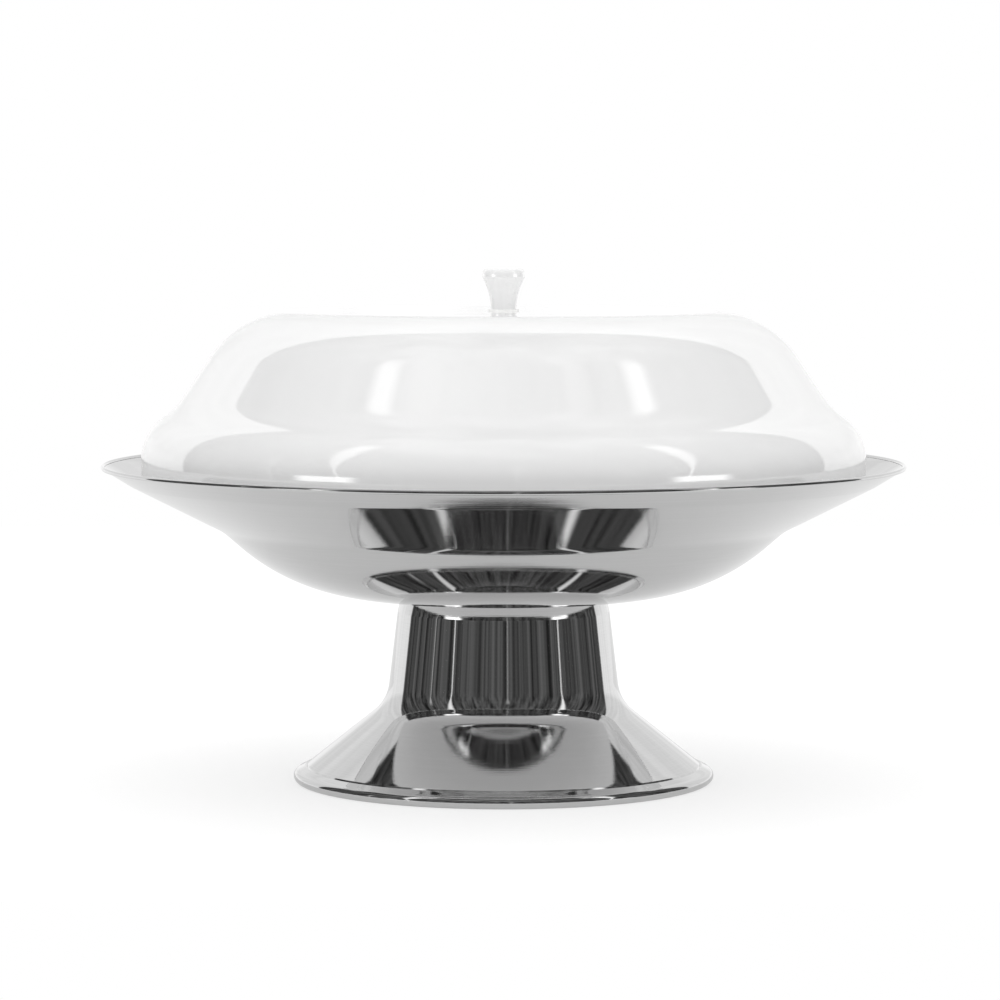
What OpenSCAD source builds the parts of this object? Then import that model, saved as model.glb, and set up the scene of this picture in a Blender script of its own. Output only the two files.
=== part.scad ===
// Footed serving bowl with a dome cover.
// A spun steel bowl is bolted to a spun steel pedestal. A translucent plastic dome with
// a turned knob stands inside the rim of the bowl and lifts straight off.
// Every round shape is an outline of corner points, each with its rounding radius,
// turned about the Z axis. The origin is the centre of the foot, on the table.

/* [Bowl] */
// Diameter over the rim
rim_d = 400; // [396:1:440]
// Height of the rim above the table
rim_z = 158.8; // [157:0.1:164]
// Height of the underside of the bowl's flat bottom
bottom_z = 92.7; // [91:0.1:95]
// Radius of the round belly between the bottom and the wall
belly_r = 104; // [85:1:108]
// Steepest slope of the belly, in degrees
belly_slope = 41; // [38:1:44]
// Slope of the conical wall, in degrees
wall_slope = 26.9; // [25:0.1:29]
// Radius where the belly turns into the wall
shoulder_r = 140.5; // [138:0.5:144]
// Height where the belly turns into the wall
shoulder_z = 126.1; // [124:0.1:128]
// Radius where the wall turns up into the lip
lip_r = 186; // [182:1:190]
// Sheet thickness of the bowl
bowl_t = 0.8; // [0.6:0.1:1.2]
// Radius of the bead along the rim
rim_bead_r = 1.1; // [0.9:0.1:1.6]

/* [Pedestal] */
// Diameter over the foot
foot_d = 210; // [208:1:230]
// Radius of the column at its top
column_top_r = 51.2; // [50:0.1:52.4]
// Radius where the drawn-in neck of the column begins
neck_r = 52.9; // [52.5:0.1:54]
// Height where the drawn-in neck of the column begins
neck_z = 84.9; // [82:0.1:87]
// Radius where the column's line meets the flare's line
column_foot_r = 58.3; // [56:0.1:62]
// Height where the column's line meets the flare's line
column_foot_z = 39.7; // [36:0.1:44]
// Radius of the fillet between the column and the flare
flare_fillet_r = 21.5; // [16:0.5:28]
// Radius of the crease between the flare and the foot flange
crease_r = 98.6; // [94:0.1:99.5]
// Height of that crease
crease_z = 7.6; // [7:0.1:8.5]
// Radius of the rolled bead round the foot
foot_bead_r = 2.9; // [2.5:0.1:3.2]
// Sheet thickness of the pedestal
pedestal_t = 1.0; // [0.8:0.1:1.2]

/* [Lid] */
// Outer radius of the lid's upright skirt
skirt_r = 180; // [175:0.1:183]
// Height of the lid's flat top
lid_top_z = 234.4; // [228:0.1:242]
// Radius of the lid's flat top
crown_r = 104.5; // [98:0.5:108]
// Radius of the round shoulder of the lid
lid_shoulder_r = 49.5; // [40:0.5:52]
// Slope of the lid's sloping wall, in degrees
lid_slope = 55.8; // [54:0.1:58]
// Height of the waist that runs round the lid
waist_z = 186.4; // [184:0.1:190]
// Rounding of the waist, which is made smaller where the lid's slope is too short for it
waist_round_r = 38; // [10:1:38]
// Slope of the lid below the waist, in degrees
skirt_slope = 35; // [30:1:38]
// Rounding of the skirt
skirt_round_r = 25; // [18:1:27]
// Wall thickness of the lid
lid_t = 2.5; // [2:0.1:3]

/* [Knob] */
// Height of the knob
knob_h = 20.2; // [18:0.1:24]
// Radius of the knob's lip
knob_lip_r = 10.7; // [9.5:0.1:12]
// Height of the knob's lip
knob_lip_h = 4; // [3.5:0.1:5]
// Height over which the knob flares out, measured from its top
knob_flare_h = 13; // [12:0.1:14]
// Radius of the knob's stem
knob_foot_r = 6.5; // [6.2:0.1:8]

/* [Hardware] */
// Thread diameter of the knob's screw
screw_d = 5; // [4:1:5]
// Thread diameter of the stud under the bowl
stud_d = 8; // [6:1:8]
// Radius of the plate welded under the bowl
stud_plate_r = 30; // [24:1:36]

/* [Hidden] */
$fn = 180;

steps = 14;                 // straight pieces that stand for each rounded corner
shoulder_round_r = 25;
lip_round_r = 12;
land_angle = 16;            // half the angle of the foot bead that is pressed flat, where it stands
slack = 0.3;                // gap between the lid's foot and the bowl it stands on
min_straight = 0.3;         // what stays straight between the roundings of the lid's skirt

rim_r = rim_d / 2;
foot_r = foot_d / 2;

stud_plate_t = 2;
top_plate_t = 2;
gasket_t = 0.8;
washer_t = 1.6;
spring_t = 2;
nut_h = 6.5;
nut_across_flats = 13;
stud_tail = 4;              // how far the stud stands out below its nut

plate_top_z = bottom_z - stud_plate_t;          // the two plates meet here
plate_under_z = plate_top_z - top_plate_t;
column_top_z = bottom_z - gasket_t;
nut_top_z = plate_under_z - washer_t - spring_t;
stud_end_z = nut_top_z - nut_h - stud_tail;

weld_r = stud_d / 2 + 1.4;                      // weld collar round the root of the stud
weld_h = 1.2;

knob_gasket_t = 0.8;
gasket_edge = 1.2;          // how far the knob's gasket stands out round its foot
knob_z = lid_top_z + knob_gasket_t;
knob_bore_depth = 10;
insert_len = 9;
insert_wall = 1.1;
insert_r = screw_d / 2 + insert_wall;
dome_hole_r = screw_d / 2 + 0.25;
dome_under_z = lid_top_z - lid_t;
screw_washer_t = 1;
screw_head_r = screw_d * 0.95;
screw_head_h = screw_d * 0.56;
screw_len = 14;
recess_w = 1.1;             // width of the screw's cross recess
recess_depth = 1.7;

steel = "silver";
lid_plastic = [0.94, 0.94, 0.94, 0.6];

// Points along an arc about centre c, from angle a0 to angle a1
function arc(c, r, a0, a1, n = steps) =
    [for (i = [0 : n]) let (a = a0 + (a1 - a0) * i / n) c + r * [cos(a), sin(a)]];

function unit(v) = v / norm(v);
function cross_z(u, v) = u[0] * v[1] - u[1] * v[0];
function left_of(v) = [-v[1], v[0]];
function xy(p) = [p[0], p[1]];

// The arc of radius r that rounds the corner at b between a and c
function round_corner(a, b, c, r, n = steps) =
    let (u = unit(b - a), v = unit(c - b),
        turn = atan2(cross_z(u, v), u * v),
        back = r * tan(abs(turn) / 2),
        centre = b - u * back + left_of(u) * r * sign(turn),
        start = b - u * back - centre,
        a0 = atan2(start[1], start[0]))
    arc(centre, r, a0, a0 + turn, n);

// An outline from corners [radius, height, rounding], with each inner corner rounded
function outline(p) =
    [for (i = [0 : len(p) - 1])
        each (i == 0 || i == len(p) - 1 || p[i][2] == 0)
            ? [xy(p[i])]
            : round_corner(xy(p[i - 1]), xy(p[i]), xy(p[i + 1]), p[i][2])];

// Where the sheet's other face lies: t to the left of each point of the outline
function beside(p, t) =
    let (last = len(p) - 1)
    [for (i = [0 : last])
        let (u = unit(p[max(i, 1)] - p[max(i, 1) - 1]),
            v = unit(p[min(i, last - 1) + 1] - p[min(i, last - 1)]),
            m = unit(left_of(u) + left_of(v)))
        p[i] + m * t / (m * left_of(u))];

// A sheet of thickness t that follows the outline p, as a closed profile
function sheet(p, t) =
    let (q = beside(p, t))
    concat(p, [for (i = [len(q) - 1 : -1 : 0]) q[i]]);

module turned(points) {
    rotate_extrude() polygon(points);
}

module ring(r_in, r_out, z, h) {
    translate([0, 0, z]) difference() {
        cylinder(r = r_out, h = h);
        translate([0, 0, -1]) cylinder(r = r_in, h = h + 2);
    }
}

// Bowl: flat bottom, round belly, conical wall and a lip that turns up to a bead

// Height of the wall's underside at radius r
function wall_z(r) = shoulder_z + (r - shoulder_r) * tan(wall_slope);

belly_corner_r = shoulder_r - (shoulder_z - bottom_z) / tan(belly_slope);
rim_bead_centre = [rim_r - rim_bead_r, rim_z - rim_bead_r];

bowl_under = outline([
    [0, bottom_z, 0],
    [belly_corner_r, bottom_z, belly_r],
    [shoulder_r, shoulder_z, shoulder_round_r],
    [lip_r, wall_z(lip_r), lip_round_r],
    rim_bead_centre - [0, rim_bead_r / 2]
]);

module bowl() {
    color(steel) {
        turned(sheet(bowl_under, bowl_t));
        rotate_extrude() translate(rim_bead_centre) circle(r = rim_bead_r, $fn = 48);
    }
}

// Plate and stud under the bowl, and what clamps them to the pedestal

module stud_plate() {
    color(steel) turned([
        [0, plate_top_z],
        [stud_plate_r - 0.6, plate_top_z],
        [stud_plate_r, plate_top_z + 0.6],
        [stud_plate_r, bottom_z],
        [0, bottom_z]
    ]);
}

module stand_stud() {
    color(steel) {
        translate([0, 0, stud_end_z]) cylinder(r = stud_d / 2, h = plate_top_z - stud_end_z);
        translate([0, 0, plate_top_z - weld_h]) cylinder(r = weld_r, h = weld_h);
    }
}

module bowl_gasket() {
    color("white") ring(column_top_r - 1.8, column_top_r + 0.6, column_top_z, gasket_t);
}

module pedestal_top_plate() {
    color(steel) ring(weld_r + 0.6, column_top_r - pedestal_t - 0.1, plate_under_z, top_plate_t);
}

module flat_washer() {
    color(steel) ring(stud_d / 2 + 0.2, stud_d, plate_under_z - washer_t, washer_t);
}

module spring_washer() {
    color(steel) difference() {
        ring(stud_d / 2 + 0.1, stud_d / 2 + 3, nut_top_z, spring_t);
        translate([stud_d / 2 + 1.5, 0, nut_top_z + spring_t / 2]) rotate([20, 0, 0])
            cube([5, 0.5, spring_t * 2], center = true);
    }
}

module stand_nut() {
    color(steel) translate([0, 0, nut_top_z - nut_h]) difference() {
        cylinder(r = nut_across_flats / 2 / cos(30), h = nut_h, $fn = 6);
        translate([0, 0, -1]) cylinder(r = stud_d / 2 + 0.02, h = nut_h + 2);
    }
}

// Pedestal: tapered column, fillet, conical flare, crease, flange and a rolled bead

foot_bead_centre = [foot_r - foot_bead_r, foot_bead_r * cos(land_angle)];
bead_meet = 72;             // angle on the bead where the flange runs into it
bead_end = -170;            // angle where the rolled edge stops, inside

pedestal_outside = concat(
    outline([
        [column_top_r, column_top_z, 0],
        [neck_r, neck_z, 2],
        [column_foot_r, column_foot_z, flare_fillet_r],
        [crease_r, crease_z, 1.2],
        foot_bead_centre + foot_bead_r * [cos(bead_meet), sin(bead_meet)]
    ]),
    arc(foot_bead_centre, foot_bead_r, bead_meet - 10, land_angle - 90),
    arc(foot_bead_centre, foot_bead_r, -90 - land_angle, bead_end, 7)
);

module pedestal() {
    color(steel) turned(sheet(pedestal_outside, -pedestal_t));
}

// Lid: flat top, round shoulder, sloping wall, waist, and a skirt that turns upright

crown_corner_r = crown_r + lid_shoulder_r * tan(lid_slope / 2);
waist_r = crown_corner_r + (lid_top_z - waist_z) / tan(lid_slope);
skirt_corner_z = waist_z - (skirt_r - waist_r) * tan(skirt_slope);
lid_foot_z = wall_z(skirt_r) + bowl_t / cos(wall_slope) + slack;

// What the skirt's own rounding leaves of the slope below the waist
slope_left = (skirt_r - waist_r) / cos(skirt_slope)
    - skirt_round_r * tan((90 - skirt_slope) / 2) - min_straight;
waist_fit_r = min(waist_round_r, max(1, slope_left / tan((lid_slope - skirt_slope) / 2)));

lid_outside = outline([
    [dome_hole_r, lid_top_z, 0],
    [crown_corner_r, lid_top_z, lid_shoulder_r],
    [waist_r, waist_z, waist_fit_r],
    [skirt_r, skirt_corner_z, skirt_round_r],
    [skirt_r, lid_foot_z, 0]
]);

module lid_dome() {
    color(lid_plastic) turned(sheet(lid_outside, -lid_t));
}

// Knob: turned lip, waist and foot, with a threaded insert, and its screw from inside

knob_side = outline([
    [0, knob_z + knob_h, 0],
    [knob_lip_r, knob_z + knob_h, 2.4],
    [knob_lip_r, knob_z + knob_h - knob_lip_h, 0.6],
    [knob_foot_r, knob_z + knob_h - knob_flare_h, 30],
    [knob_foot_r, knob_z, 0]
]);

module knob() {
    color("gainsboro") difference() {
        turned(concat(knob_side, [[0, knob_z]]));
        translate([0, 0, knob_z - 1]) cylinder(r = insert_r, h = knob_bore_depth + 1);
    }
}

module knob_insert() {
    color("goldenrod") ring(screw_d / 2 + 0.02, insert_r, knob_z, insert_len);
}

module knob_gasket() {
    color("white") ring(dome_hole_r + 0.2, knob_foot_r + gasket_edge, lid_top_z, knob_gasket_t);
}

module screw_washer() {
    color(steel) ring(dome_hole_r + 0.05, screw_d * 1.2, dome_under_z - screw_washer_t, screw_washer_t);
}

module knob_screw() {
    seat_z = dome_under_z - screw_washer_t;
    color(steel) difference() {
        union() {
            translate([0, 0, seat_z]) cylinder(r = screw_d / 2, h = screw_len);
            turned(concat([[0, seat_z]], outline([
                [screw_head_r, seat_z, 0],
                [screw_head_r, seat_z - screw_head_h, 1.6],
                [0, seat_z - screw_head_h, 0]
            ])));
        }
        for (a = [0, 90])
            translate([0, 0, seat_z - screw_head_h]) rotate([0, 0, a])
                cube([screw_head_r, recess_w, recess_depth * 2], center = true);
    }
}

bowl();
stud_plate();
stand_stud();
bowl_gasket();
pedestal();
pedestal_top_plate();
flat_washer();
spring_washer();
stand_nut();
lid_dome();
knob();
knob_insert();
knob_gasket();
screw_washer();
knob_screw();
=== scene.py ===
"""Looks of a footed serving bowl with a translucent dome cover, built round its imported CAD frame.

The steel is mirror polished, so the bowl, the pedestal, the lid and the knob are turned again here from
the same dimensions as the CAD, finely enough that no facet shows in a reflection."""

import math

import bpy
import numpy as np
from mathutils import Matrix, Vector


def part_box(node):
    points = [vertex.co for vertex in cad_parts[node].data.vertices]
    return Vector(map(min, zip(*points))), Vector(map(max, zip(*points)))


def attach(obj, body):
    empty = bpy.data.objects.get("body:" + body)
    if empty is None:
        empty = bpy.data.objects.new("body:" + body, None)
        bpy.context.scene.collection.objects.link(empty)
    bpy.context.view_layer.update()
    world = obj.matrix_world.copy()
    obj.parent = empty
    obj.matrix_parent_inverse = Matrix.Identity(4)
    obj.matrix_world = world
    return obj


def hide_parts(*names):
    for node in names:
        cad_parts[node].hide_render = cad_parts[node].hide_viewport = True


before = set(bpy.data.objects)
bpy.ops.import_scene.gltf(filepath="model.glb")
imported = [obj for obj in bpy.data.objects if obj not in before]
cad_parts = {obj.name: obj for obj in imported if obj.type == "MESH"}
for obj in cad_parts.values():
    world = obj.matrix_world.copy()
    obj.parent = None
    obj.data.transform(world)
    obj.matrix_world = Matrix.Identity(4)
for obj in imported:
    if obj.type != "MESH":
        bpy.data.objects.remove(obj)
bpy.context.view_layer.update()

MM = 0.001

# ---------------------------------------------------------------- dimensions, in millimetres


def node_size(node):
    """Radius, lowest and highest point of a round CAD node."""
    low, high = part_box(node)
    return high.x / MM, low.z / MM, high.z / MM


RIM_R, _, RIM_Z = node_size("bowl")
FOOT_R, _, COLUMN_TOP_Z = node_size("pedestal")
SKIRT_R, LID_FOOT_Z, LID_TOP_Z = node_size("lid_dome")
KNOB_LIP_R, KNOB_Z, KNOB_TOP_Z = node_size("knob")
_, _, BOTTOM_Z = node_size("stud_plate")

BOWL_T = 0.8
BELLY_SLOPE, BELLY_R = 41, 104
SHOULDER_R, SHOULDER_Z, SHOULDER_ROUND_R = 140.5, 126.1, 25
WALL_SLOPE = 26.9
LIP_R, LIP_ROUND_R = 186, 12
RIM_BEAD_R = 1.1

PEDESTAL_T = 1.0
COLUMN_TOP_R = 51.2
NECK_R, NECK_Z, NECK_ROUND_R = 52.9, 84.9, 2
COLUMN_FOOT_R, COLUMN_FOOT_Z = 58.3, 39.7
FLARE_FILLET_R = 21.5
CREASE_R, CREASE_Z = 98.6, 7.6
GROOVE, GROOVE_ROUND_R = 0.6, 0.3       # half width and depth of the groove along the crease
FLARE_SLOPE = 38
FOOT_BEAD_R = 2.9
BEAD_MEET, BEAD_END = 72, -170          # angles on the foot bead where the flange meets it and it stops
LAND_ANGLE = 16                         # half the angle of the bead that is pressed flat
BEAD_STEP = 0.3

LID_T = 2.5
CROWN_R, LID_SHOULDER_R, LID_SLOPE = 104.5, 49.5, 55.8
WAIST_Z, WAIST_ROUND_R, SKIRT_SLOPE, SKIRT_ROUND_R = 186.4, 38, 35, 25
DOME_HOLE_R = 2.75

STUD_R, WELD_R, WELD_H = 4, 5.4, 1.2
THREAD_PITCH, THREAD_DEPTH, THREAD_ROWS = 1.25, 0.65, 120
NUT_FLATS, NUT_CORNER = 13, math.radians(60)
NUT_LAND, NUT_CHAMFER = 0.96, 30        # flat part of the nut's face, and its chamfer in degrees
NUT_SINK = 0.6

KNOB_FOOT_R, KNOB_BORE_R, KNOB_BORE_DEPTH = 6.5, 3.6, 10
KNOB_LIP_H, KNOB_FLARE_H = 4, 13
KNOB_TOP_ROUND_R, KNOB_LIP_ROUND_R, KNOB_FLARE_ROUND_R = 2.4, 0.6, 30
KNOB_STEP = 0.3

# ---------------------------------------------------------------- outlines


def sin(degrees):
    return math.sin(math.radians(degrees))


def cos(degrees):
    return math.cos(math.radians(degrees))


def tan(degrees):
    return math.tan(math.radians(degrees))


def arc(centre, radius, start, end, step=2.0):
    """Points about a centre from one angle to another, in degrees, no further apart than step."""
    length = abs(math.radians(end - start)) * radius
    count = max(3, math.ceil(length / step), math.ceil(abs(end - start) / 5))
    angles = np.radians(np.linspace(start, end, count + 1))
    return np.column_stack([centre[0] + radius * np.cos(angles), centre[1] + radius * np.sin(angles)])


def rounded_corner(before, corner, after, radius, step):
    """The arc that rounds a corner between its two neighbours."""
    u = (corner - before) / np.linalg.norm(corner - before)
    v = (after - corner) / np.linalg.norm(after - corner)
    turn = math.atan2(u[0] * v[1] - u[1] * v[0], u @ v)
    back = radius * math.tan(abs(turn) / 2)
    left = np.array([-u[1], u[0]])
    centre = corner - u * back + left * radius * math.copysign(1, turn)
    start = corner - u * back - centre
    angle = math.degrees(math.atan2(start[1], start[0]))
    return arc(centre, radius, angle, angle + math.degrees(turn), step)


def filled_in(points, step):
    """The same line with points no further apart than step."""
    out = [points[0]]
    for a, b in zip(points[:-1], points[1:]):
        count = max(1, math.ceil(np.linalg.norm(b - a) / step))
        out += [a + (b - a) * i / count for i in range(1, count + 1)]
    return np.array(out)


def outline(corners, step=2.0):
    """A line through corners (radius, height, rounding), with each inner corner rounded."""
    places = [np.array(c[:2], float) for c in corners]
    rounding = [c[2] if len(c) > 2 else 0 for c in corners]
    out = [places[:1]]
    for i in range(1, len(places) - 1):
        if rounding[i]:
            out.append(rounded_corner(places[i - 1], places[i], places[i + 1], rounding[i], step))
        else:
            out.append(places[i : i + 1])
    out.append(places[-1:])
    return filled_in(np.vstack(out), step)


def beside(points, offset):
    """The line that runs offset to the left of another."""
    ahead = np.diff(points, axis=0)
    ahead /= np.linalg.norm(ahead, axis=1)[:, None]
    left = np.column_stack([-ahead[:, 1], ahead[:, 0]])
    before, after = np.vstack([left[:1], left]), np.vstack([left, left[-1:]])
    middle = before + after
    middle /= np.linalg.norm(middle, axis=1)[:, None]
    return points + middle * (offset / np.sum(middle * before, axis=1))[:, None]


def sheet(points, thickness):
    """A closed profile of a sheet between a line and the line beside it."""
    return np.vstack([points, beside(points, thickness)[::-1]])


# ---------------------------------------------------------------- meshes


def area(loop):
    """Area inside a closed profile, negative when it runs clockwise."""
    r, z = loop[:, 0], loop[:, 1]
    return 0.5 * float(np.sum(r * np.roll(z, -1) - np.roll(r, -1) * z))


def make_mesh(name, verts, faces, sharp=32):
    """A smooth-shaded object, with edges sharper than so many degrees kept sharp."""
    mesh = bpy.data.meshes.new(name)
    mesh.from_pydata(verts, [], faces)
    mesh.validate()
    mesh.shade_smooth()
    mesh.set_sharp_from_angle(angle=math.radians(sharp))
    piece = bpy.data.objects.new(name, mesh)
    bpy.context.scene.collection.objects.link(piece)
    return piece


def round_mesh(name, profile_at, segments, sharp=32):
    """A closed profile (radius, height) carried about the Z axis. It may change with the angle.

    Points on the axis become one vertex."""
    angles = np.linspace(0, 2 * math.pi, segments, endpoint=False)
    profiles = np.array([profile_at(a) for a in angles])
    verts, rings = [], []
    for row in range(profiles.shape[1]):
        r, z = profiles[:, row, 0], profiles[:, row, 1]
        if r.max() < 1e-6:
            rings.append([len(verts)] * segments)
            verts.append((0, 0, z[0] * MM))
        else:
            rings.append(list(range(len(verts), len(verts) + segments)))
            verts += list(zip(r * np.cos(angles) * MM, r * np.sin(angles) * MM, z * MM))
    faces = []
    for low, high in zip(rings, rings[1:] + rings[:1]):
        for j in range(segments):
            k = (j + 1) % segments
            face = []
            for v in (low[j], high[j], high[k], low[k]):
                if v not in face:
                    face.append(v)
            if len(face) > 2:
                faces.append(face)
    return make_mesh(name, verts, faces, sharp)


def turned(name, loop, segments=288):
    """A closed profile turned about the Z axis."""
    loop = np.asarray(loop, float)
    loop = loop[np.linalg.norm(loop - np.roll(loop, 1, axis=0), axis=1) > 1e-6]
    if area(loop) > 0:
        loop = loop[::-1]
    return round_mesh(name, lambda angle: loop, segments)


# ---------------------------------------------------------------- materials


class Nodes:
    """A node tree with a few short ways to add to it."""

    def __init__(self, tree):
        self.tree = tree
        self.tree.nodes.clear()

    def add(self, kind, **inputs):
        node = self.tree.nodes.new("ShaderNode" + kind)
        for name, value in inputs.items():
            self.set(node, name.replace("_", " "), value)
        return node

    def set(self, node, name, value):
        socket = node.inputs[int(name)] if name.isdigit() else node.inputs[name]
        if isinstance(value, bpy.types.NodeSocket):
            self.tree.links.new(value, socket)
        else:
            socket.default_value = value

    def math(self, operation, a, b=0.0):
        node = self.tree.nodes.new("ShaderNodeMath")
        node.operation = operation
        self.set(node, "0", a)
        self.set(node, "1", b)
        return node.outputs[0]

    def plus(self, a, b):
        return self.math("ADD", a, b)

    def times(self, a, b):
        return self.math("MULTIPLY", a, b)

    def vector_math(self, operation, a, b=None):
        node = self.tree.nodes.new("ShaderNodeVectorMath")
        node.operation = operation
        self.set(node, "0", a)
        if b is not None:
            self.set(node, "1", b)
        return node.outputs["Value"]

    def ramp(self, value, low, high, out_low, out_high, smooth=False):
        node = self.tree.nodes.new("ShaderNodeMapRange")
        node.interpolation_type = "SMOOTHSTEP" if smooth else "LINEAR"
        self.set(node, "Value", value)
        self.set(node, "From Min", low)
        self.set(node, "From Max", high)
        self.set(node, "To Min", out_low)
        self.set(node, "To Max", out_high)
        return node.outputs[0]

    def mix(self, factor, a, b):
        """A mix of two plain colours (sockets 6 and 7 are the colours, output 2 the result)."""
        node = self.tree.nodes.new("ShaderNodeMix")
        node.data_type = "RGBA"
        self.set(node, "0", factor)
        self.set(node, "6", (*a, 1))
        self.set(node, "7", (*b, 1))
        return node.outputs[2]


MARK_DEPTH = 0.007           # of the rings that spinning leaves
MARK_TURN = 6.0              # how much the rings change on their way round
RIPPLE_DEPTH = 0.03          # of the formed plastic sheet


def new_material(name):
    m = bpy.data.materials.new(name)
    m.use_nodes = True
    return m, Nodes(m.node_tree)


def turning_marks(n, per_mm):
    """Noise drawn out along circles about the Z axis, as a spinning or turning tool leaves it."""
    place = n.add("TexCoord").outputs["Object"]
    xyz = n.add("SeparateXYZ", Vector=place)
    flat = n.add("CombineXYZ", X=xyz.outputs[0], Y=xyz.outputs[1])
    r = n.times(n.vector_math("LENGTH", flat.outputs[0]), per_mm / MM)
    z = n.times(xyz.outputs[2], per_mm / MM)
    angle = n.math("ARCTAN2", xyz.outputs[1], xyz.outputs[0])
    swept = n.add("CombineXYZ", X=r, Y=z, Z=n.times(n.math("SINE", angle), MARK_TURN))
    noise = n.add("TexNoise", Vector=swept.outputs[0], Scale=1.0, Detail=3.0, Roughness=0.6)
    return noise.outputs["Fac"]


def steel(name, tone=(0.68, 0.68, 0.68), rough=0.035, marks=2.5):
    """Spun or turned metal: faint rings in tone, gloss and relief, and broad clouds in the gloss."""
    m, n = new_material(name)
    place = n.add("TexCoord").outputs["Object"]
    rings = turning_marks(n, marks)
    cloud = n.add("TexNoise", Vector=place, Scale=9.0, Detail=2.0).outputs["Fac"]
    darker, lighter = [c * 0.965 for c in tone], [c * 1.02 for c in tone]
    colour = n.mix(n.ramp(rings, 0.3, 0.7, 0.0, 1.0), darker, lighter)
    roughness = n.times(n.ramp(rings, 0.3, 0.7, 0.7, 1.3), rough)
    roughness = n.times(n.ramp(cloud, 0.3, 0.7, 0.85, 1.2), roughness)
    relief = n.add("Bump", Strength=1.0, Distance=MARK_DEPTH * MM, Height=rings)
    shader = n.add("BsdfPrincipled", Base_Color=colour, Metallic=1.0, Roughness=roughness,
                   Normal=relief.outputs[0])
    n.add("OutputMaterial", Surface=shader.outputs[0])
    return m


def plastic(name, colour, rough, coat=0.0):
    """Plain moulded plastic or rubber, faintly clouded, with a glossy skin where coat is 1."""
    m, n = new_material(name)
    place = n.add("TexCoord").outputs["Object"]
    cloud = n.add("TexNoise", Vector=place, Scale=90.0, Detail=2.0).outputs["Fac"]
    tint = n.mix(cloud, [c * 0.985 for c in colour], [min(1, c * 1.01) for c in colour])
    roughness = n.ramp(cloud, 0.3, 0.7, rough * 0.8, rough * 1.2)
    shader = n.add("BsdfPrincipled", Base_Color=tint, Roughness=roughness, IOR=1.49)
    n.set(shader, "Coat Weight", coat)
    n.set(shader, "Coat IOR", 2.0)
    n.set(shader, "Coat Roughness", 0.06)
    n.add("OutputMaterial", Surface=shader.outputs[0])
    return m


def milky_plastic(name):
    """Translucent white plastic under a glossy skin, with the faint ripple of a formed sheet."""
    m, n = new_material(name)
    place = n.add("TexCoord").outputs["Object"]
    ripple = n.add("TexNoise", Vector=place, Scale=16.0, Detail=1.5).outputs["Fac"]
    bump = n.add("Bump", Strength=1.0, Distance=RIPPLE_DEPTH * MM, Height=ripple)
    shade = n.add("TexNoise", Vector=place, Scale=60.0, Detail=2.0).outputs["Fac"]
    tint = n.mix(shade, (0.95, 0.95, 0.95), (0.97, 0.97, 0.97))
    roughness = n.ramp(shade, 0.3, 0.7, 0.4, 0.5)
    shader = n.add("BsdfPrincipled", Base_Color=tint, Roughness=roughness, IOR=1.3,
                   Transmission_Weight=0.2, Normal=bump.outputs[0])
    n.set(shader, "Coat Weight", 1.0)
    n.set(shader, "Coat Roughness", 0.02)
    n.set(shader, "Coat IOR", 2.26)
    n.set(shader, "Coat Normal", bump.outputs[0])
    n.add("OutputMaterial", Surface=shader.outputs[0])
    return m


bowl_steel = steel("bowl_steel")
pedestal_steel = steel("pedestal_steel")
plate_steel = steel("plate_steel", tone=(0.5, 0.5, 0.5), rough=0.3)
fastener_steel = steel("fastener_steel", tone=(0.55, 0.55, 0.56), rough=0.22, marks=6)
lid_plastic = milky_plastic("lid_plastic")
knob_plastic = plastic("knob_plastic", (0.84, 0.84, 0.84), rough=0.3, coat=1.0)
silicone = plastic("silicone", (0.93, 0.93, 0.92), rough=0.45)
brass = steel("brass", tone=(0.72, 0.52, 0.25), rough=0.25, marks=4)


def dress(piece, material):
    """Give a piece one material."""
    piece.data.materials.clear()
    piece.data.materials.append(material)


def place_piece(piece, body, material, node):
    """Dress a piece, let it ride on its body and take the place of a CAD node."""
    dress(piece, material)
    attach(piece, body)
    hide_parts(node)


# ---------------------------------------------------------------- bowl


def wall_z(r):
    """Height of the underside of the bowl's wall at a radius."""
    return SHOULDER_Z + (r - SHOULDER_R) * tan(WALL_SLOPE)


def bowl_profile():
    """The underside out to the rim, round its bead, and back along the inside."""
    bead = np.array([RIM_R - RIM_BEAD_R, RIM_Z - RIM_BEAD_R])
    under = outline([
        (0, BOTTOM_Z),
        (SHOULDER_R - (SHOULDER_Z - BOTTOM_Z) / tan(BELLY_SLOPE), BOTTOM_Z, BELLY_R),
        (SHOULDER_R, SHOULDER_Z, SHOULDER_ROUND_R),
        (LIP_R, wall_z(LIP_R), LIP_ROUND_R),
        bead - (0, RIM_BEAD_R / 2),
    ])
    lift = under[-1] - under[-2]
    back = math.degrees(math.atan2(lift[1], lift[0])) + 180
    half = math.degrees(math.asin(BOWL_T / 2 / RIM_BEAD_R))
    upper = beside(under, BOWL_T)
    clear = [np.linalg.norm(line - bead, axis=1) > RIM_BEAD_R for line in (under, upper)]
    return np.vstack([
        under[clear[0]],
        arc(bead, RIM_BEAD_R, back + half - 360, back - half),
        upper[clear[1]][::-1],
    ])


place_piece(turned("bowl_shell", bowl_profile()), "stand", bowl_steel, "bowl")

# ---------------------------------------------------------------- pedestal


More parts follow.
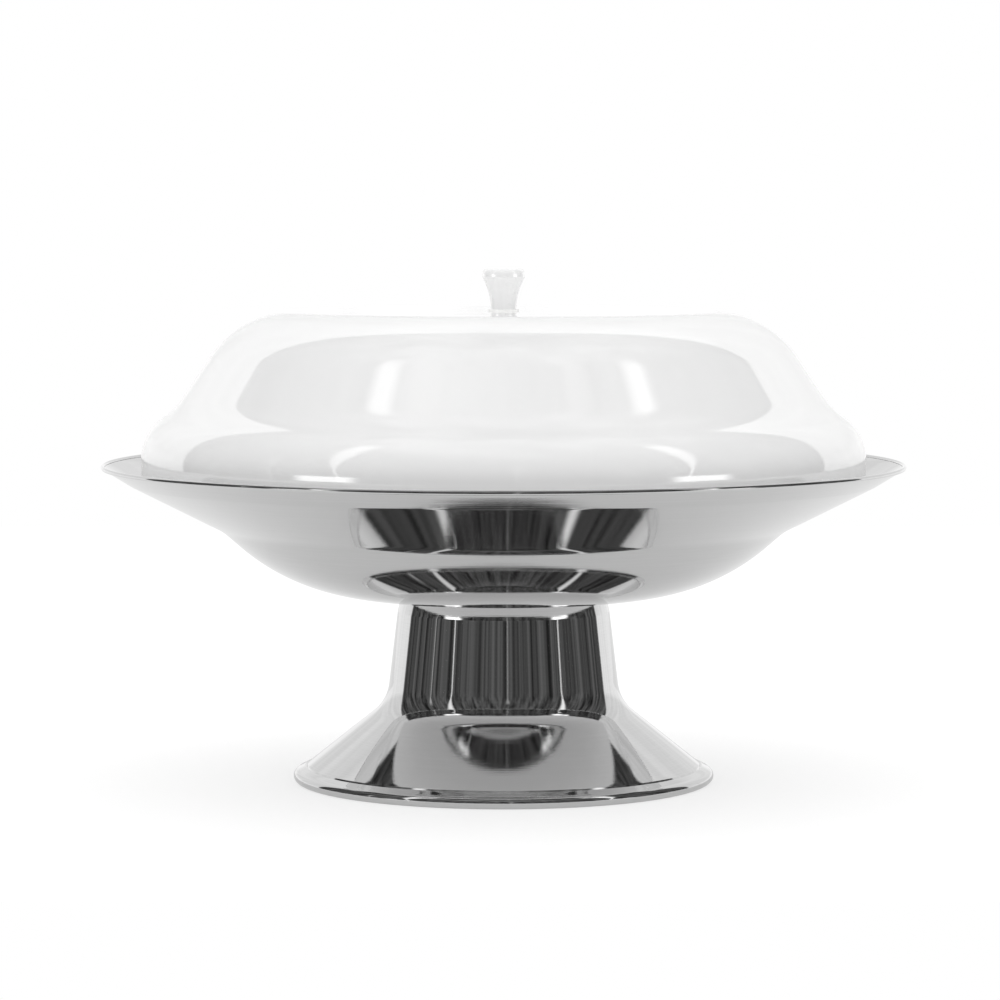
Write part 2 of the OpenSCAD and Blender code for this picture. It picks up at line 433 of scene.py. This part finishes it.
def pedestal_profile():
    """The outside down to the rolled bead of the foot, and back up inside."""
    bead = np.array([FOOT_R - FOOT_BEAD_R, FOOT_BEAD_R * cos(LAND_ANGLE)])
    side = outline([
        (COLUMN_TOP_R, COLUMN_TOP_Z),
        (NECK_R, NECK_Z, NECK_ROUND_R),
        (COLUMN_FOOT_R, COLUMN_FOOT_Z, FLARE_FILLET_R),
        (CREASE_R - GROOVE, CREASE_Z + GROOVE * tan(FLARE_SLOPE), GROOVE_ROUND_R),
        (CREASE_R, CREASE_Z - GROOVE, GROOVE_ROUND_R),
        (CREASE_R + GROOVE, CREASE_Z - GROOVE * 0.1, GROOVE_ROUND_R),
        bead + FOOT_BEAD_R * np.array([cos(BEAD_MEET), sin(BEAD_MEET)]),
    ])
    outside = np.vstack([
        side,
        arc(bead, FOOT_BEAD_R, BEAD_MEET - 3, LAND_ANGLE - 90, BEAD_STEP),
        arc(bead, FOOT_BEAD_R, -90 - LAND_ANGLE, BEAD_END, BEAD_STEP),
    ])
    return sheet(outside, -PEDESTAL_T)


place_piece(turned("pedestal_shell", pedestal_profile()), "stand", pedestal_steel,
            "pedestal")

# ---------------------------------------------------------------- stud and nut


def thread_depth(height, angle, pitch, depth):
    """How deep a helical V thread cuts at a height and an angle."""
    phase = (height / pitch - angle / (2 * math.pi)) % 1
    return depth * abs(2 * phase - 1)


def stud_profile(angle):
    """Down the threaded stud from its weld collar to its chamfered end."""
    _, low, high = node_size("stand_stud")
    body = [(0, high), (WELD_R, high), (WELD_R - 0.4, high - WELD_H * 0.6), (STUD_R, high - WELD_H - 0.3)]
    top = high - WELD_H - 0.5
    for height in np.linspace(top, low, THREAD_ROWS):
        fade = min(1, (top - height) / THREAD_PITCH)
        point = STUD_R - thread_depth(height, angle, THREAD_PITCH, THREAD_DEPTH) * fade
        body.append((min(point, STUD_R - 0.8 + (height - low)), height))
    return body + [(0, low)]


def nut_profile(angle):
    """A hexagon nut with a cone chamfer on both faces and a countersunk bore."""
    _, low, high = node_size("stand_nut")
    face = (angle + NUT_CORNER / 2) % NUT_CORNER - NUT_CORNER / 2
    out = NUT_FLATS / 2 / math.cos(NUT_CORNER / 2 - abs(face))
    land = NUT_FLATS / 2 * NUT_LAND
    drop = (out - land) * tan(NUT_CHAMFER)
    bore = STUD_R + 0.02
    return [
        (bore, low + NUT_SINK), (bore + NUT_SINK, low), (land, low), (out, low + drop),
        (out, high - drop), (land, high), (bore + NUT_SINK, high), (bore, high - NUT_SINK),
    ]


place_piece(round_mesh("threaded_stud", stud_profile, 64, 50), "stand", fastener_steel,
            "stand_stud")
place_piece(round_mesh("hex_nut", nut_profile, 144, 20), "stand", fastener_steel,
            "stand_nut")

# ---------------------------------------------------------------- lid


def lid_profile():
    """The outside from the knob's hole down to the lid's foot, and back up inside."""
    crown_corner = CROWN_R + LID_SHOULDER_R * tan(LID_SLOPE / 2)
    waist_r = crown_corner + (LID_TOP_Z - WAIST_Z) / tan(LID_SLOPE)
    outside = outline([
        (DOME_HOLE_R, LID_TOP_Z),
        (crown_corner, LID_TOP_Z, LID_SHOULDER_R),
        (waist_r, WAIST_Z, WAIST_ROUND_R),
        (SKIRT_R, WAIST_Z - (SKIRT_R - waist_r) * tan(SKIRT_SLOPE), SKIRT_ROUND_R),
        (SKIRT_R, LID_FOOT_Z),
    ])
    return sheet(outside, -LID_T)


place_piece(turned("lid_shell", lid_profile()), "lid", lid_plastic, "lid_dome")

# ---------------------------------------------------------------- knob


def knob_profile():
    """Down the turned side from the top, then up the bore for the insert."""
    side = outline([
        (0, KNOB_TOP_Z),
        (KNOB_LIP_R, KNOB_TOP_Z, KNOB_TOP_ROUND_R),
        (KNOB_LIP_R, KNOB_TOP_Z - KNOB_LIP_H, KNOB_LIP_ROUND_R),
        (KNOB_FOOT_R, KNOB_TOP_Z - KNOB_FLARE_H, KNOB_FLARE_ROUND_R),
        (KNOB_FOOT_R, KNOB_Z),
    ], KNOB_STEP)
    bore_top = KNOB_Z + KNOB_BORE_DEPTH
    return np.vstack([side, [(KNOB_BORE_R, KNOB_Z), (KNOB_BORE_R, bore_top), (0, bore_top)]])


place_piece(turned("knob_turned", knob_profile(), 160), "lid", knob_plastic, "knob")

# ---------------------------------------------------------------- CAD pieces that stay

for node, material in (
    ("stud_plate", plate_steel), ("pedestal_top_plate", plate_steel),
    ("flat_washer", fastener_steel), ("spring_washer", fastener_steel),
    ("screw_washer", fastener_steel), ("knob_screw", fastener_steel),
    ("bowl_gasket", silicone), ("knob_gasket", silicone), ("knob_insert", brass),
):
    dress(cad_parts[node], material)

# ---------------------------------------------------------------- stage and light

SHEET_FRONT, SHEET_BACK, SHEET_SIDE = -0.36, 1.6, 0.6
PAPER_TONE = 0.45
PAPER_GLOW, PAPER_GLOW_MIRRORED = 0.55, 0.31     # light of its own, to the camera and in reflections


def white_sheet():
    """White paper that glows a little, and that is clear from below so the underside can be seen."""
    verts = [(-SHEET_SIDE, SHEET_FRONT, 0), (SHEET_SIDE, SHEET_FRONT, 0),
             (SHEET_SIDE, SHEET_BACK, 0), (-SHEET_SIDE, SHEET_BACK, 0)]
    floor = make_mesh("floor_sheet", verts, [(0, 1, 2, 3)])
    m, n = new_material("paper")
    shader = n.add("BsdfPrincipled", Base_Color=(PAPER_TONE, PAPER_TONE, PAPER_TONE, 1), Roughness=0.9)
    n.set(shader, "Specular IOR Level", 0.0)
    n.set(shader, "Emission Color", (1, 1, 1, 1))
    mirrored = n.add("LightPath").outputs["Is Glossy Ray"]
    n.set(shader, "Emission Strength", n.ramp(mirrored, 0, 1, PAPER_GLOW, PAPER_GLOW_MIRRORED))
    either = n.add("MixShader", Fac=n.add("NewGeometry").outputs["Backfacing"])
    n.set(either, "1", shader.outputs[0])
    n.set(either, "2", n.add("BsdfTransparent").outputs[0])
    n.add("OutputMaterial", Surface=either.outputs[0])
    dress(floor, m)


white_sheet()

# What the polished surfaces mirror. Azimuths run from the front (-Y) towards +X, and heights are above
# the horizon, both in degrees.
BACKDROP_HALF_ANGLE = 60     # of the white arch behind the object, either side of straight behind
BACKDROP_TOP = 63            # height of the arch
BACKDROP_LIGHT = 0.78
HORIZON_LIGHT = 0.95         # of the arch, along the horizon
ROOM_DARK, ROOM_LIGHT = 0.01, 0.16
CEILING_DARK, CEILING_LIGHT = 0.05, 0.45
LAMP_LOW, LAMP_HIGH = 8, 56  # heights that a lamp's two azimuths belong to
LAMP_FADE = 10               # over which a lamp fades out at its top
LAMP_REACH = 110             # azimuth past which there are no lamps
LAMPS = (                    # two azimuths, strength, height of the top
    (-53.6, -66.5, 1.0, 66),
    (60.5, 74.6, 1.15, 63),
    (-78, -86, 0.35, 30),
    (4, 5, 0.35, 30),
)
WINDOW_HEIGHT, WINDOW_LIGHT = -4, 2.5
WINDOW_HALF_W, WINDOW_HALF_H = 13, 6
WINDOWS = (-57, 64)          # azimuths

OPEN_LIGHT, DIFFUSE_LIGHT = 1.0, 1.25    # the plain white that everything else sees


def direction(azimuth, height):
    """Unit vector towards an azimuth and a height."""
    return Vector((sin(azimuth) * cos(height), -cos(azimuth) * cos(height), sin(height)))


def in_degrees(n, angle):
    return n.times(angle, 180 / math.pi)


def backdrop(n, azimuth, height):
    """A white arch behind the object, brighter along the horizon."""
    from_back = n.math("SUBTRACT", 180, n.math("ABSOLUTE", azimuth))
    across = n.math("POWER", n.math("DIVIDE", from_back, BACKDROP_HALF_ANGLE), 2)
    up = n.math("POWER", n.math("DIVIDE", n.math("MAXIMUM", height, 0), BACKDROP_TOP), 2)
    arch = n.ramp(n.plus(across, up), 0.97, 1.03, 1, 0)
    return n.times(arch, n.ramp(height, 3, 9, HORIZON_LIGHT, BACKDROP_LIGHT))


def dim_room(n, view, azimuth, height):
    """Dark upright bands all round, and a patchy ceiling."""
    drawn_up = n.add("CombineXYZ", X=n.times(azimuth, 0.22), Y=n.times(height, 0.02))
    bands = n.add("TexNoise", Vector=drawn_up.outputs[0], Scale=1.0, Detail=5.0, Roughness=0.7)
    walls = n.ramp(bands.outputs["Fac"], 0.38, 0.62, ROOM_DARK, ROOM_LIGHT)
    clouds = n.add("TexNoise", Vector=view, Scale=2.2, Detail=4.0, Roughness=0.65)
    patches = n.ramp(clouds.outputs["Fac"], 0.4, 0.62, CEILING_DARK, CEILING_LIGHT)
    return n.plus(walls, n.times(n.ramp(height, 38, 62, 0, 1), patches))


def strip_lamp(n, view, x, azimuth, height, lamp):
    """A lamp along the great circle through its two azimuths, wider towards its top."""
    low, high, strength, top = lamp
    across = direction(low, LAMP_LOW).cross(direction(high, LAMP_HIGH)).normalized()
    off = in_degrees(n, n.math("ABSOLUTE", n.math("ARCSINE", n.vector_math("DOT_PRODUCT", view, across))))
    half_width = n.ramp(height, 12, 40, 0.8, 5.0)
    strip = n.ramp(n.math("DIVIDE", off, half_width), 0.2, 1, strength, 0, True)
    strip = n.times(strip, n.ramp(height, top - LAMP_FADE, top, 1, 0, True))
    own_side = n.math("GREATER_THAN", n.times(x, math.copysign(1, low)), -0.02)
    in_front = n.math("LESS_THAN", n.math("ABSOLUTE", azimuth), LAMP_REACH)
    return n.times(strip, n.times(own_side, in_front))


def window(n, azimuth, height, middle):
    """A soft bright rectangle near the horizon."""
    off = n.math("DIVIDE", n.math("ABSOLUTE", n.math("SUBTRACT", azimuth, middle)), WINDOW_HALF_W)
    rise = n.math("DIVIDE", n.math("ABSOLUTE", n.math("SUBTRACT", height, WINDOW_HEIGHT)), WINDOW_HALF_H)
    return n.times(n.ramp(off, 0.5, 1, WINDOW_LIGHT, 0, True), n.ramp(rise, 0.6, 1, 1, 0, True))


def studio():
    """White all round, but polished surfaces mirror a white arch behind and a dim room with strip lamps."""
    world = bpy.data.worlds.new("studio")
    bpy.context.scene.world = world
    world.use_nodes = True
    world.cycles.sampling_method = "NONE"
    n = Nodes(world.node_tree)
    view = n.add("TexCoord").outputs["Generated"]
    x, y, z = n.add("SeparateXYZ", Vector=view).outputs
    azimuth = in_degrees(n, n.math("ARCTAN2", x, n.times(y, -1)))
    height = in_degrees(n, n.math("ARCSINE", z))
    mirrored = n.plus(dim_room(n, view, azimuth, height), backdrop(n, azimuth, height))
    for lamp in LAMPS:
        mirrored = n.plus(mirrored, strip_lamp(n, view, x, azimuth, height, lamp))
    for middle in WINDOWS:
        mirrored = n.plus(mirrored, window(n, azimuth, height, middle))
    path = n.add("LightPath")
    not_diffuse_yet = n.math("LESS_THAN", path.outputs["Diffuse Depth"], 0.5)
    white = n.ramp(path.outputs["Is Diffuse Ray"], 0, 1, OPEN_LIGHT, DIFFUSE_LIGHT)
    light = n.tree.nodes.new("ShaderNodeMix")
    n.set(light, "Factor", n.times(path.outputs["Is Glossy Ray"], not_diffuse_yet))
    n.set(light, "A", white)
    n.set(light, "B", mirrored)
    back = n.add("Background", Color=(1, 1, 1, 1), Strength=light.outputs[0])
    n.add("OutputWorld", Surface=back.outputs[0])


studio()
bpy.context.scene.view_settings.view_transform = "Standard"

# ---------------------------------------------------------------- camera

CAMERA_DISTANCE, CAMERA_HEIGHT = 2.023, 0.2867
CAMERA_PITCH, CAMERA_LENS = 4.142, 146.4
CAMERA_SIDE = -0.0018


def camera():
    data = bpy.data.cameras.new("camera")
    data.lens, data.sensor_width = CAMERA_LENS, 36
    data.clip_end = 50
    cam = bpy.data.objects.new("camera", data)
    cam.location = (CAMERA_SIDE, -CAMERA_DISTANCE, CAMERA_HEIGHT)
    cam.rotation_euler = (math.radians(90 - CAMERA_PITCH), 0, 0)
    bpy.context.scene.collection.objects.link(cam)
    bpy.context.scene.camera = cam


camera()
